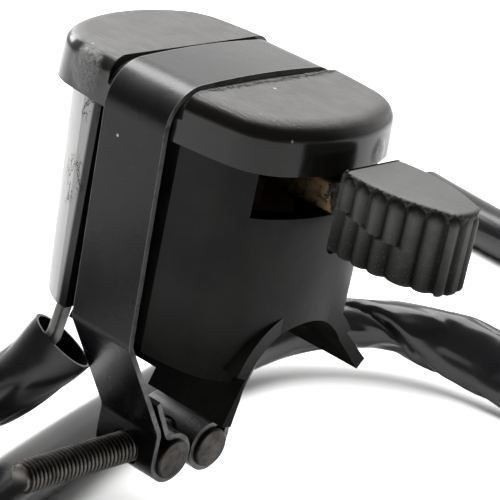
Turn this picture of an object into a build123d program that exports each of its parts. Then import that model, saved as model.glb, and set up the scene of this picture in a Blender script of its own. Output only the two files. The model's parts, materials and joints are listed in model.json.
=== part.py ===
from build123d import *
import math
import os

os.makedirs("parts", exist_ok=True)

# A motorbike handlebar switch cluster: a switch body that a strap and a cross screw clamp to the bar.
# Millimetres. X runs along the handlebar, towards the lever. Y runs along the cross screw. Z is up.
# The origin is on the handlebar's axis, under the middle of the strap.

# Handlebar and the saddle that sits on it. The near side is -Y, where the screw's tip is.
bar_radius = 11.1
saddle_half_length = 22.9
saddle_wall = 2.5
near_wrap_angle = 70.0
near_lip_angle = 78.0
near_lip_length = 7.3
near_notch_height = -0.5
far_wrap_angle = 57.0
far_lip_angle = 45.0
far_lip_length = 8.3
far_notch_height = 5.5
lip_wall = 2.0
lip_notch_half_width = 8.0

# Plan of the switch body: two bowed sides, two bowed noses and four rounded corners
half_length = 24.8
half_width = 17.5
corner_round = 9.0
corner_along_share = 0.806
corner_across_share = 0.874

# Cap
seam_height = 34.75
cap_height = 7.45
cap_edge_round = 2.8
cap_wall = 1.8
cap_ceiling_wall = 4.2
cap_draft = 3.0
groove_half_width = 7.4

# Base
base_side_inset = 0.2
base_nose_inset = 1.3
base_taper = 0.25
base_bottom_height = 2.75
base_nose_wall = 2.3
chamber_half_width = 13.0
chamber_wire_end_reach = 17.5
chamber_corner_round = 7.0
chamber_floor_wall = 1.4
channel_half_width = 7.9
channel_floor_reach = 15.2
slot_clearance = 1.0
slot_half_width = 13.3
slot_inner_reach = 14.0

# The base's nose on the wire side: narrower than the lever's nose, and drawn in towards its foot
wire_nose_top_reach = 23.5
wire_nose_foot_reach = 20.6
wire_nose_crease_share = 0.39
wire_nose_side_shares = (0.72, 0.785)
wire_nose_tip_shares = (0.922, 0.48)

# Strap
strap_width = 12.0
strap_thickness = 0.8
strap_clearance = 0.1
strap_lean = 2.3
strap_corner_round = 6.0
strap_shoulder_drop = 1.2
strap_bend_height = 2.4
strap_bend_round = 2.2
strap_knee_round = 2.0
tail_bend_round = 1.1
tail_end_height = -8.6
tail_gap = 1.9
tail_root_reach = 1.5
loop_round_share = 0.985
bow_round_share = 0.95

# Cross barrels and the screw through them
barrel_radius = 3.2
barrel_length = 13.6
barrel_edge_round = 0.3
barrel_height = -18.8
barrel_pair_middle = 1.35
loop_clearance = 0.05
loop_gap = 0.3
screw_radius = 2.5
screw_length = 38.2
thread_length = 32.0
thread_pitch = 0.8
thread_depth = 0.42
screw_tip_chamfer = 0.7
screw_head_radius = 4.4
screw_head_height = 3.2
screw_head_round = 0.8
screw_slot_width = 1.2
screw_slot_depth = 1.5
screw_hole_clearance = 0.4
running_clearance = 0.06

# Lever, on an upright pivot inside the base
pivot_reach = 6.0
pin_radius = 1.6
pin_seat_depth = 2.2
pin_head_radius = 2.6
pin_head_height = 1.2
boss_radius = 4.0
boss_height = 1.4
lever_below_seam = 3.55
arm_thickness = 4.6
arm_width = 5.0
arm_edge_round = 0.6
hub_radius = 4.6
tang_width = 3.2
tang_thickness = 2.6
tang_length = 8.0
washer_radius = 3.4
washer_thickness = 0.8
washer_gap = 0.15

# Knob
knob_start = 28.0
knob_length = 18.2
knob_height = 12.4
knob_inner_half_width = 5.9
knob_middle_half_width = 6.3
knob_outer_half_width = 3.4
knob_nose_bulge = 1.5
knob_corner_round = 1.2
knob_edge_round = 0.7
flute_count = 8
flute_radius = 1.15
flute_depth = 0.62
flute_top_margin = 1.1

# Detent that holds the lever in its three places
ball_radius = 1.5
ball_reach = 10.6
ball_wall_gap = 0.2
detent_wall = 2.2
detent_notch_depth = 0.45
detent_half_angle = 36.0
lever_swing = 25.0
tail_width = 5.2
tail_bore_clearance = 0.1
spring_length = 4.5
spring_wall = 0.35

# Switch contacts
plate_thickness = 1.6
plate_stand_off = 2.0
plate_half_length = 9.0
plate_half_width = 10.4
plate_corner_round = 3.0
plate_post_radius = 1.9
plate_screw_radius = 0.9
plate_screw_head_radius = 1.7
plate_screw_head_height = 1.0
plate_screw_depth = 3.0
rotor_radius = 8.4
rotor_thickness_share = 0.385
rotor_neck_radius = 3.6
moving_contact_thickness = 0.8
moving_contact_half_width = 2.2
stud_radius = 1.2
stud_height = 1.5
stud_edge_round = 0.4
stud_circle_radius = 7.2
contact_gap = 0.2
lug_lengths = (2.9, 3.45, 5.3)
lug_width = 2.0
lug_thickness = 0.5
solder_gap = 0.2

# Wire leads and the hole that they leave by
wire_radius = 0.55
wire_circle_radius = 0.76
wire_hole_radius = 1.6
wire_hole_along = -11.0
wire_hole_top_across = -10.9
wire_hole_foot_across = -13.2
wire_turn_rise = 0.9
wire_turn_step = 1.3
wire_ring_angles = (240.0, 0.0, 120.0)
wire_turn_order = (1, 0, 2)
wire_bend_round = 1.6
wire_bend_round_share = 0.45

# Sleeve round the wires, beyond the base
sleeve_radius = 4.75
sleeve_route = [
    (-11.2, -15.4, -4.2),
    (-17.7, -17.0, -15.3),
    (-28.9, -21.9, -22.6),
    (-45.0, -33.5, -27.7),
    (-57.5, -56.5, -27.7),
    (-57.0, -84.0, -27.7),
    (-40.0, -104.5, -27.7),
    (-13.0, -106.0, -27.7),
    (5.5, -86.0, -27.7),
    (7.0, -58.0, -27.7),
    (-7.0, -30.0, -27.7),
    (-17.5, 5.2, -27.7),
    (-23.4, 29.0, -27.7),
    (-27.6, 47.5, -27.4),
    (-26.9, 64.5, -26.5),
    (-18.8, 79.2, -25.8),
    (-5.0, 87.9, -25.8),
    (12.0, 90.6, -26.9),
    (30.0, 94.0, -27.7),
    (45.0, 104.5, -27.7),
    (52.0, 121.5, -27.7),
    (48.5, 139.5, -27.7),
    (35.5, 152.5, -27.7),
    (16.5, 158.0, -27.7),
    (-7.0, 156.2, -27.7),
    (-34.0, 150.0, -27.7),
    (-66.0, 156.0, -27.7),
]
route_round_share = 0.45

# Wires and bullet connectors past the sleeve's far end
tail_wire_step = 1.25
tail_wire_lengths = (6.0, 8.5, 11.0)
tail_wire_reach = 11.0
bullet_radius = 2.1
bullet_length = 17.0
bullet_nose_length = 5.0
bullet_nose_radius = 1.7
bullet_fan_angle = 16.0

# How far a cutting shape runs past what it cuts
overrun = 5.0

# Worked out from the sizes above
cap_top_height = seam_height + cap_height
lever_height = seam_height - lever_below_seam
base_top_half_length = half_length - base_nose_inset
base_top_half_width = half_width - base_side_inset
saddle_outer_radius = bar_radius + saddle_wall
chamber_floor_height = saddle_outer_radius + chamber_floor_wall
strap_half = strap_thickness / 2
loop_radius = barrel_radius + loop_clearance + strap_half
barrel_spacing = 2 * (loop_radius + strap_half) + loop_gap
near_barrel_across = barrel_pair_middle - barrel_spacing / 2
far_barrel_across = barrel_pair_middle + barrel_spacing / 2
screw_head_seat = far_barrel_across + loop_radius + strap_half + strap_clearance
arm_bottom = lever_height - arm_thickness / 2
arm_top = lever_height + arm_thickness / 2
slot_floor_height = arm_bottom - slot_clearance
plate_bottom = chamber_floor_height + plate_stand_off
plate_top = plate_bottom + plate_thickness
rotor_bottom = plate_top + stud_height + contact_gap + moving_contact_thickness
rotor_thickness = (arm_bottom - rotor_bottom) * rotor_thickness_share
pin_bottom = chamber_floor_height - pin_seat_depth
pin_shoulder = arm_top + washer_gap + washer_thickness


def body_outline(length, width, rounding):
    """Face of the body's plan, for one half length and half width."""
    along = length * corner_along_share
    across = width * corner_across_share
    arcs = [
        ThreePointArc((along, -across), (length, 0), (along, across)),
        ThreePointArc((along, across), (0, width), (-along, across)),
        ThreePointArc((-along, across), (-length, 0), (-along, -across)),
        ThreePointArc((-along, -across), (0, -width), (along, -across)),
    ]
    face = make_face(Curve() + arcs)
    return fillet(face.vertices(), rounding)


def span_box(x_span, y_span, z_span):
    """Box between pairs of coordinates."""
    size = [high - low for low, high in (x_span, y_span, z_span)]
    middle = [(high + low) / 2 for low, high in (x_span, y_span, z_span)]
    return Pos(*middle) * Box(*size)


def across_cylinder(radius, y_span, height):
    """Cylinder along Y at X = 0."""
    low, high = y_span
    return Pos(0, (low + high) / 2, height) * Rot(90, 0, 0) * Cylinder(radius, high - low)


def upright(radius, x, y, z_span):
    """Cylinder along Z."""
    low, high = z_span
    return Pos(x, y, (low + high) / 2) * Cylinder(radius, high - low)


def along_bar(face, half_length_here):
    """Solid of a YZ section, the same distance each way along the bar."""
    return extrude(Plane.YZ * face, amount=half_length_here, both=True)


def tube(points, radii, radius):
    """Round tube along straight runs that tangent arcs join."""
    path = FilletPolyline(*points, radius=radii) if radii else Polyline(*points)
    section = Plane(origin=path @ 0, z_dir=path % 0) * Circle(radius)
    return sweep(section, path=path), path


def corner_radii(points, share):
    """Arc radius at each inner point: a share of the shorter run over the tangent of half the turn."""
    radii = []
    for before, corner, after in zip(points, points[1:], points[2:]):
        run_in = Vector(*corner) - Vector(*before)
        run_out = Vector(*after) - Vector(*corner)
        half_turn = math.radians(run_in.get_angle(run_out) / 2)
        radii.append(share * min(run_in.length, run_out.length) / math.tan(half_turn))
    return radii


def strap_side_reach(height):
    """Centre of the strap's leaning side, measured out from the middle, at one height."""
    at_seam = half_width + strap_clearance + strap_half
    return at_seam + (height - seam_height) * math.tan(math.radians(strap_lean))


def strap_shoulder(inset):
    """Corner and crown points of the strap's top, moved inwards by an inset."""
    crown_height = cap_top_height + strap_clearance + strap_half - inset
    corner_height = crown_height - strap_shoulder_drop
    corner_reach = strap_side_reach(corner_height) - inset
    return corner_reach, corner_height, crown_height


def bow_radius(corner_reach, rounding):
    """Largest smooth radius of the strap's crown between its two corners."""
    half_turn = math.atan(strap_shoulder_drop / corner_reach)
    corner_tangent = rounding * math.tan(math.radians(45.0) - half_turn / 2)
    return bow_round_share * (corner_reach - corner_tangent) / math.tan(half_turn)


def strap_core():
    """Everything under the strap's inner face, which the cap's groove is cut down to."""
    inset = strap_half + strap_clearance
    reach, corner_height, crown_height = strap_shoulder(inset)
    low = seam_height - overrun
    foot = strap_side_reach(low) - inset
    rounding = strap_corner_round - inset
    line = FilletPolyline(
        (-foot, low), (-reach, corner_height), (0, crown_height), (reach, corner_height), (foot, low),
        radius=[rounding, bow_radius(reach, rounding), rounding],
    )
    face = make_face(line + Line(line @ 1, line @ 0))
    return along_bar(face, groove_half_width + overrun)


def top_cover():
    """Moulded cap: skirt, rounded top edge, hollow underside and the strap's groove."""
    plan = body_outline(half_length, half_width, corner_round)
    cap = extrude(Pos(0, 0, seam_height) * plan, amount=cap_height, taper=cap_draft)
    cap = fillet(cap.faces().sort_by(Axis.Z)[-1].edges(), cap_edge_round)
    hollow_plan = body_outline(half_length - cap_wall, half_width - cap_wall, corner_round - cap_wall)
    cap = cap - extrude(Pos(0, 0, seam_height) * hollow_plan, amount=cap_height - cap_ceiling_wall)
    groove = span_box(
        (-groove_half_width, groove_half_width),
        (-half_width - overrun, half_width + overrun),
        (seam_height, cap_top_height + overrun),
    )
    return cap - (groove - strap_core())


def lip_sides():
    """Side, wrap angle, flare angle, length and notch height of the near lip, then of the far lip."""
    near = (-1, math.radians(near_wrap_angle), math.radians(near_lip_angle), near_lip_length,
            near_notch_height)
    far = (1, math.radians(far_wrap_angle), math.radians(far_lip_angle), far_lip_length,
           far_notch_height)
    return near, far


def saddle():
    """Part tube over the bar, with a lip along each side."""
    reach = saddle_outer_radius + overrun
    near, far = lip_sides()
    wedge = Polygon(
        (0, 0), (reach * math.sin(far[1]), reach * math.cos(far[1])), (reach, reach + reach),
        (-reach, reach + reach), (-reach * math.sin(near[1]), reach * math.cos(near[1])), align=None,
    )
    section = Circle(saddle_outer_radius) & wedge
    for side, wrap, flare, length, notch_height in (near, far):
        root = Vector(bar_radius * math.sin(wrap), bar_radius * math.cos(wrap))
        run = Vector(math.cos(flare), -math.sin(flare)) * length
        wall = Vector(math.sin(flare), math.cos(flare)) * lip_wall
        back = Vector(-math.sin(wrap), math.cos(wrap)) * lip_wall
        corners = [root, root + run, root + run + wall, root + wall + back, root + back]
        section = section + Polygon(*[(side * corner.X, corner.Y) for corner in corners], align=None)
    return along_bar(section, saddle_half_length)


def bar_space():
    """Room for the handlebar, opening out between the lips."""
    corners = []
    for side, wrap, flare, length, notch_height in lip_sides():
        top = Vector(bar_radius * math.sin(wrap), bar_radius * math.cos(wrap))
        foot = top + Vector(math.cos(flare), -math.sin(flare)) * (length + bar_radius)
        corners.append([(side * top.X, top.Y), (side * foot.X, foot.Y)])
    near, far = corners
    mouth = Polygon(near[0], far[0], far[1], near[1], align=None)
    return along_bar(Circle(bar_radius) + mouth, half_length + overrun)


def wire_nose_plan(height, reach):
    """Plan of what is kept at the base's wire end, at one height."""
    side_along, side_across = wire_nose_side_shares
    tip_along, tip_across = wire_nose_tip_shares
    crease = reach * wire_nose_crease_share
    edge = base_top_half_width
    wide = half_width + overrun
    outline = []
    for turn in (-1, 1):
        outline.append([
            Line((overrun, turn * wide), (-crease, turn * wide)),
            Line((-crease, turn * wide), (-crease, turn * edge)),
            ThreePointArc((-crease, turn * edge), (-reach * side_along, turn * edge * side_across),
                          (-reach * tip_along, turn * edge * tip_across)),
        ])
    near, far = outline
    nose = ThreePointArc(near[-1] @ 1, (-reach, 0), far[-1] @ 1)
    inner = Line(near[0] @ 0, far[0] @ 0)
    return Pos(0, 0, height) * make_face(Curve() + [*near, nose, *far, inner])


def wire_nose_waste():
    """Everything outside the narrow nose at the base's wire end."""
    low = -bar_radius - overrun
    high = seam_height + overrun
    kept = loft([
        wire_nose_plan(low, wire_nose_foot_reach),
        wire_nose_plan(base_bottom_height, wire_nose_foot_reach),
        wire_nose_plan(seam_height, wire_nose_top_reach),
        wire_nose_plan(high, wire_nose_top_reach),
    ], ruled=True)
    block = span_box((-half_length - overrun, -channel_half_width),
                     (-half_width - overrun, half_width + overrun), (low, high))
    return block - kept


def base_housing():
    """Moulded base: lobes, contact chamber, lever slot, strap channels, saddle and wire hole."""
    plan = body_outline(base_top_half_length, base_top_half_width, corner_round - base_side_inset)
    depth = seam_height - base_bottom_height
    base = extrude(Pos(0, 0, seam_height) * plan, amount=depth, dir=(0, 0, -1), taper=base_taper)
    base = base + saddle() - wire_nose_waste()
    chamber_plan = body_outline(
        base_top_half_length - base_nose_wall, chamber_half_width, chamber_corner_round)
    chamber = extrude(Pos(0, 0, chamber_floor_height) * chamber_plan,
                      amount=seam_height - chamber_floor_height)
    base = base - (chamber & span_box((-chamber_wire_end_reach, half_length),
                                      (-half_width, half_width), (chamber_floor_height, seam_height)))
    base = base - span_box((slot_inner_reach, half_length + overrun),
                           (-slot_half_width, slot_half_width),
                           (slot_floor_height, seam_height + overrun))
    for side, wrap, flare, length, notch_height in lip_sides():
        outside = side * (half_width + overrun)
        base = base - span_box((-channel_half_width, channel_half_width),
                               sorted((side * channel_floor_reach, outside)),
                               (base_bottom_height - overrun, seam_height + overrun))
        base = base - span_box((-lip_notch_half_width, lip_notch_half_width),
                               sorted((side * bar_radius * math.sin(wrap), outside)),
                               (-bar_radius - overrun, notch_height))
    base = base - bar_space()
    base = base - span_box((-half_length - overrun, -lip_notch_half_width),
                           (-half_width - overrun, 0), (-bar_radius - overrun, base_bottom_height))
    top, foot, down = wire_hole_line()
    hole_plane = Plane(origin=top - down * overrun, z_dir=down)
    base = base - extrude(hole_plane * Circle(wire_hole_radius), amount=(foot - top).length + 2 * overrun)
    base = base + upright(boss_radius, pivot_reach, 0,
                          (chamber_floor_height, chamber_floor_height + boss_height))
    for x, y in plate_post_places():
        base = base + upright(plate_post_radius, x, y, (chamber_floor_height, plate_bottom))
        base = base - upright(plate_screw_radius, x, y, (plate_top - plate_screw_depth, plate_bottom))
    return base - upright(pin_radius, pivot_reach, 0, (pin_bottom, plate_bottom))


def wire_hole_line():
    """Upper and lower end of the slanting wire hole, and its direction."""
    top = Vector(wire_hole_along, wire_hole_top_across, chamber_floor_height)
    foot = Vector(wire_hole_along, wire_hole_foot_across, base_bottom_height)
    return top, foot, (foot - top).normalized()


def plate_post_places():
    """The two posts that the contact plate is screwed to, one on each side of the pivot."""
    reach = plate_half_length - plate_screw_head_radius
    return [(pivot_reach - reach, 0), (pivot_reach + reach, 0)]


def strap_leg_points(side, barrel_across):
    """Strap centre points of one leg, from its tail's end round the barrel to its bend."""
    bend = (side * strap_side_reach(strap_bend_height), strap_bend_height)
    knee_across = barrel_across + side * loop_radius
    knee_height = barrel_height + loop_radius + tail_bend_round
    inner_across = barrel_across - side * loop_radius
    loop_top = barrel_height + loop_radius
    loop_bottom = barrel_height - loop_radius
    part_way = (tail_end_height - bend[1]) / (knee_height - bend[1])
    leg_across = bend[0] + (knee_across - bend[0]) * part_way
    return [
        (leg_across - side * tail_gap, tail_end_height),
        (barrel_across + side * tail_root_reach, loop_top),
        (inner_across, loop_top),
        (inner_across, loop_bottom),
        (knee_across, loop_bottom),
        (knee_across, knee_height),
        bend,
    ]


def clamp_strap():
    """One bent strip: over the cap, down both sides and round the two barrels."""
    reach, corner_height, crown_height = strap_shoulder(0)
    near = strap_leg_points(-1, near_barrel_across)
    far = strap_leg_points(1, far_barrel_across)
    crown = [(-reach, corner_height), (0, crown_height), (reach, corner_height)]
    points = near + crown + far[::-1]
    loop_round = loop_round_share * loop_radius
    leg_rounds = [tail_bend_round, loop_round, loop_round, loop_round, strap_knee_round, strap_bend_round]
    crown_rounds = [strap_corner_round, bow_radius(reach, strap_corner_round), strap_corner_round]
    line = FilletPolyline(*points, radius=leg_rounds + crown_rounds + leg_rounds[::-1])
    strap = along_bar(trace(line, line_width=strap_thickness), strap_width / 2)
    hole_span = (near_barrel_across - loop_radius - overrun, far_barrel_across + loop_radius + overrun)
    return strap - across_cylinder(screw_radius + screw_hole_clearance, hole_span, barrel_height)


def barrel(across, bore_radius):
    """Round cross bar with a hole through its middle for the screw."""
    bar = Rot(0, 90, 0) * Cylinder(barrel_radius, barrel_length)
    bar = fillet(bar.edges().filter_by(GeomType.CIRCLE), barrel_edge_round)
    hole_span = (across - barrel_radius - overrun, across + barrel_radius + overrun)
    return Pos(0, across, barrel_height) * bar - across_cylinder(bore_radius, hole_span, barrel_height)


def clamp_screw():
    """Screw with a ringed thread, a chamfered tip and a slotted pan head."""
    tip = screw_head_seat - screw_length
    root_radius = screw_radius - thread_depth
    points = [(0, tip), (screw_radius - screw_tip_chamfer, tip)]
    turns = int((thread_length - screw_tip_chamfer) / thread_pitch)
    for turn in range(turns):
        foot = tip + screw_tip_chamfer + turn * thread_pitch
        points += [(root_radius, foot), (screw_radius, foot + thread_pitch / 2)]
    shank_start = tip + screw_tip_chamfer + turns * thread_pitch
    points += [(root_radius, shank_start), (screw_radius, shank_start + thread_pitch / 2)]
    points += [(screw_radius, screw_head_seat), (0, screw_head_seat)]
    shank = revolve(make_face(Polyline(*points, close=True)), Axis.Y)
    head_end = screw_head_seat + screw_head_height
    head = across_cylinder(screw_head_radius, (screw_head_seat, head_end), 0)
    head = fillet(head.edges().filter_by(GeomType.CIRCLE).sort_by(Axis.Y)[-1], screw_head_round)
    slot = span_box((-screw_slot_width / 2, screw_slot_width / 2),
                    (head_end - screw_slot_depth, head_end + overrun),
                    (-screw_head_radius - overrun, screw_head_radius + overrun))
    return Pos(0, 0, barrel_height) * (shank + (head - slot))


def lever_arm():
    """Arm with its hub on the pivot, a tang for the knob and a bored tail for the detent."""
    arm = span_box((pivot_reach, knob_start), (-arm_width / 2, arm_width / 2), (arm_bottom, arm_top))
    arm = fillet(arm.edges().filter_by(Axis.X), arm_edge_round)
    tail_end = pivot_reach - ball_reach
    tail = span_box((tail_end, pivot_reach), (-tail_width / 2, tail_width / 2), (arm_bottom, arm_top))
    tang = span_box((knob_start, knob_start + tang_length), (-tang_width / 2, tang_width / 2),
                    (lever_height - tang_thickness / 2, lever_height + tang_thickness / 2))
    body = arm + tail + tang + upright(hub_radius, pivot_reach, 0, (arm_bottom, arm_top))
    bore_end = tail_end + spring_length
    bore_place = Pos((tail_end + bore_end) / 2, 0, lever_height) * Rot(0, 90, 0)
    body = body - bore_place * Cylinder(ball_radius + tail_bore_clearance, spring_length)
    return body - upright(pin_radius + running_clearance, pivot_reach, 0, (arm_bottom, arm_top))


def knob_plan():
    """Plan of the knob: a bowed wedge with a rounded nose."""
    outer = knob_start + knob_length - knob_nose_bulge
    middle = (knob_start + outer) / 2
    sides = []
    for side in (-1, 1):
        sides.append(ThreePointArc(
            (knob_start, side * knob_inner_half_width), (middle, side * knob_middle_half_width),
            (outer, side * knob_outer_half_width)))
    nose = ThreePointArc(sides[0] @ 1, (knob_start + knob_length, 0), sides[1] @ 1)
    inner = Line(sides[0] @ 0, sides[1] @ 0)
    return make_face(Curve() + [sides[0], nose, sides[1], inner]), sides


def lever_knob():
    """Finger knob with upright flutes down both sides and a pocket for the arm's tang."""
    face, sides = knob_plan()
    face = fillet(face.vertices(), knob_corner_round)
    bottom = lever_height - knob_height / 2
    top = lever_height + knob_height / 2
    knob = extrude(Pos(0, 0, bottom) * face, amount=knob_height)
    rims = knob.faces().filter_by(Axis.Z).edges()
    knob = fillet(rims, knob_edge_round)
    for side in sides:
        for flute in range(flute_count):
            share = (flute + 1) / (flute_count + 1)
            spot = side @ share
            direction = side % share
            outward = Vector(direction.Y, -direction.X)
            if outward.Y * spot.Y < 0:
                outward = outward * -1
            centre = spot + outward * (flute_radius - flute_depth)
            knob = knob - upright(flute_radius, centre.X, centre.Y,
                                  (bottom - overrun, top - flute_top_margin))
    pocket = span_box((knob_start, knob_start + tang_length), (-tang_width / 2, tang_width / 2),
                      (lever_height - tang_thickness / 2, lever_height + tang_thickness / 2))
    return knob - pocket


def pivot_pin():
    """Headed pin pressed into the base's boss."""
    shank = upright(pin_radius, pivot_reach, 0, (pin_bottom, pin_shoulder))
    return shank + upright(pin_head_radius, pivot_reach, 0, (pin_shoulder, pin_shoulder + pin_head_height))


def retaining_washer():
    """Washer under the pin's head."""
    span = (pin_shoulder - washer_thickness, pin_shoulder)
    return upright(washer_radius, pivot_reach, 0, span) - upright(pin_radius, pivot_reach, 0, span)


def contact_rotor():
    """Insulating disc and neck that turn with the lever and carry the moving contact."""
    disc = upright(rotor_radius, pivot_reach, 0, (rotor_bottom, rotor_bottom + rotor_thickness))
    neck = upright(rotor_neck_radius, pivot_reach, 0, (rotor_bottom + rotor_thickness, arm_bottom))
    return disc + neck - upright(pin_radius + running_clearance, pivot_reach, 0, (rotor_bottom, arm_bottom))


def moving_contact():
    """Wiping strip under the rotor, across its full width."""
    low = rotor_bottom - moving_contact_thickness
    strip = span_box((pivot_reach - moving_contact_half_width, pivot_reach + moving_contact_half_width),
                     (-rotor_radius, rotor_radius), (low, rotor_bottom))
    strip = strip & upright(rotor_radius, pivot_reach, 0, (low, rotor_bottom))
    return strip - upright(pin_radius + running_clearance, pivot_reach, 0, (low, rotor_bottom))


def contact_plate():
    """Insulating board on two posts, round the pivot's boss."""
    board = extrude(
        Pos(pivot_reach, 0, plate_bottom)
        * RectangleRounded(2 * plate_half_length, 2 * plate_half_width, plate_corner_round),
        amount=plate_thickness,
    )
    board = board - upright(boss_radius, pivot_reach, 0, (plate_bottom, plate_top))
    for x, y in plate_post_places():
        board = board - upright(plate_screw_radius, x, y, (plate_bottom, plate_top))
    for x, y in stud_places():
        board = board - upright(stud_radius, x, y, (plate_bottom, plate_top))
    return board


def stud_places():
    """Centres of the fixed contact studs, one under the wiping strip in each of the lever's places."""
    places = []
    for swing in (-lever_swing, 0, lever_swing):
        angle = math.radians(swing)
        places.append((pivot_reach + stud_circle_radius * math.sin(angle),
                       -stud_circle_radius * math.cos(angle)))
    return places


def fixed_contacts():
    """Studs riveted through the board, each domed by a small edge rounding."""
    studs = []
    for x, y in stud_places():
        stud = upright(stud_radius, x, y, (plate_bottom, plate_top + stud_height))
        studs.append(fillet(stud.edges().sort_by(Axis.Z)[-1], stud_edge_round))
    return Compound(children=studs)


def solder_lugs():
    """Flat lug under each stud, pointing at the base's wire side."""
    lugs = []
    for (x, y), length in zip(stud_places(), lug_lengths):
        lug = span_box((x - lug_width / 2, x + lug_width / 2), (y - length, y + stud_radius),
                       (plate_bottom - lug_thickness, plate_bottom))
        lugs.append(lug)
    return Compound(children=lugs)


def plate_screws():
    """Two small screws that hold the board to its posts."""
    screws = []
    for x, y in plate_post_places():
        shank = upright(plate_screw_radius, x, y, (plate_top - plate_screw_depth, plate_top))
        head = upright(plate_screw_head_radius, x, y, (plate_top, plate_top + plate_screw_head_height))
        screws.append(shank + head)
    return Compound(children=screws)


def detent_block():
    """Curved wall on the chamber floor with three upright notches for the ball."""
    inner = ball_reach + ball_radius + ball_wall_gap
    outer = inner + detent_wall
    span = (chamber_floor_height, arm_top)
    ring = upright(outer, pivot_reach, 0, span) - upright(inner, pivot_reach, 0, span)
    far = outer + overrun
    half = math.radians(detent_half_angle)
    wedge = make_face(Polyline(
        (pivot_reach, 0), (pivot_reach - far * math.cos(half), far * math.sin(half)),
        (pivot_reach - far, 0), (pivot_reach - far * math.cos(half), -far * math.sin(half)), close=True))
    block = ring & extrude(Pos(0, 0, chamber_floor_height) * wedge, amount=arm_top - chamber_floor_height)
    notch_reach = inner + detent_notch_depth - ball_radius
    for swing in (-lever_swing, 0, lever_swing):
        angle = math.radians(180 + swing)
        block = block - upright(ball_radius, pivot_reach + notch_reach * math.cos(angle),
                                notch_reach * math.sin(angle), (arm_bottom, arm_top + overrun))
    return block


def detent_ball():
    """Ball at the mouth of the lever's tail."""
    return Pos(pivot_reach - ball_reach, 0, lever_height) * Sphere(ball_radius)


def detent_spring():
    """Close-wound spring behind the ball, as a plain thin tube."""
    start = pivot_reach - ball_reach + ball_radius
    end = pivot_reach - ball_reach + spring_length
    place = Pos((start + end) / 2, 0, lever_height) * Rot(0, 90, 0)
    outer = place * Cylinder(ball_radius, end - start)
    return outer - place * Cylinder(ball_radius - spring_wall, end - start)


def ring_point(centre, heading, turn):
    """Point of the leads' ring round a centre, in the plane square to a heading."""
    across = Vector(1, 0, 0) - heading * heading.X
    across = across.normalized()
    angle = math.radians(turn)
    return centre + (across * math.cos(angle) + heading.cross(across) * math.sin(angle)) * wire_circle_radius


def wire_lead(index, turn, rise):
    """One lead, from under its solder lug through the wire hole to the sleeve's mouth."""
    stud_x, stud_y = stud_places()[index]
    start = Vector(stud_x, stud_y - lug_lengths[index] + wire_radius,
                   plate_bottom - lug_thickness - wire_radius - solder_gap)
    mouth = Vector(*sleeve_route[0])
    heading = (Vector(*sleeve_route[1]) - mouth).normalized()
    top, foot, down = wire_hole_line()
    points = [
        start,
        ring_point(top - down * (wire_turn_rise + rise * wire_turn_step), down, turn),
        ring_point(foot, down, turn),
        ring_point(mouth - heading * wire_hole_radius, heading, turn),
        ring_point(mouth, heading, turn),
    ]
    widest = corner_radii([tuple(point) for point in points], wire_bend_round_share)
    radii = [min(radius, wire_bend_round) for radius in widest]
    return tube(points, radii, wire_radius)[0]


def harness_sleeve():
    """Sleeve along its lying route."""
    radii = corner_radii(sleeve_route, route_round_share)
    solid, path = tube(sleeve_route, radii, sleeve_radius)
    print("sleeve arc radii", [round(radius, 1) for radius in radii])
    print("sleeve length", round(path.length, 1))
    print("sleeve volume over section times length",
          round(solid.volume / (math.pi * sleeve_radius ** 2 * path.length), 5))
    return solid


def tail_frames():
    """End point and two directions at the sleeve's far end."""
    end = Vector(*sleeve_route[-1])
    heading = (end - Vector(*sleeve_route[-2])).normalized()
    return end, heading, Vector(-heading.Y, heading.X, 0)


def tail_wire_ends():
    """For each wire past the sleeve: its points and the heading that it ends with."""
    end, heading, left = tail_frames()
    fan = math.radians(bullet_fan_angle)
    layout = []
    for index, length in enumerate(tail_wire_lengths):
        offset = (index - 1) * (2 * wire_radius + tail_wire_step)
        start = end - left * offset
        turn = (len(tail_wire_lengths) - 1 - index) * fan
        first = start + heading * length
        out = left * math.cos(turn) - heading * math.sin(turn)
        layout.append(([start, first, first + out * tail_wire_reach], out))
    return layout


def tail_wires():
    """Wires that leave the sleeve's far end."""
    wires = []
    for points, out in tail_wire_ends():
        radii = corner_radii([tuple(point) for point in points], wire_bend_round_share)
        wires.append(tube(points, radii, wire_radius)[0])
    return Compound(children=wires)


def bullet_connectors():
    """Insulated bullet connector on the end of each wire."""
    bullets = []
    for points, out in tail_wire_ends():
        plane = Plane(origin=points[-1], z_dir=out)
        barrel_body = extrude(plane * Circle(bullet_radius), amount=bullet_length)
        nose_plane = Plane(origin=points[-1] + out * bullet_length, z_dir=out)
        nose = extrude(nose_plane * Circle(bullet_nose_radius), amount=bullet_nose_length)
        bullets.append(barrel_body + nose)
    return Compound(children=bullets)


nodes = {
    "top_cover": top_cover(),
    "base_housing": base_housing(),
    "clamp_strap": clamp_strap(),
    "threaded_barrel": barrel(near_barrel_across, screw_radius + running_clearance),
    "plain_barrel": barrel(far_barrel_across, screw_radius + screw_hole_clearance),
    "clamp_screw": clamp_screw(),
    "lever_arm": lever_arm(),
    "lever_knob": lever_knob(),
    "pivot_pin": pivot_pin(),
    "retaining_washer": retaining_washer(),
    "contact_rotor": contact_rotor(),
    "moving_contact": moving_contact(),
    "contact_plate": contact_plate(),
    "fixed_contacts": fixed_contacts(),
    "solder_lugs": solder_lugs(),
    "plate_screws": plate_screws(),
    "detent_block": detent_block(),
    "detent_ball": detent_ball(),
    "detent_spring": detent_spring(),
    "harness_sleeve": harness_sleeve(),
    "tail_wires": tail_wires(),
    "bullet_connectors": bullet_connectors(),
}
for number, (turn, rise) in enumerate(zip(wire_ring_angles, wire_turn_order)):
    nodes["wire_lead_" + str(number + 1)] = wire_lead(number, turn, rise)

for name, shape in nodes.items():
    export_step(shape, "parts/" + name + ".step")
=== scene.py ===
import bpy
import bmesh
import json
import math
import random
from mathutils import Matrix, Vector, noise


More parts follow.
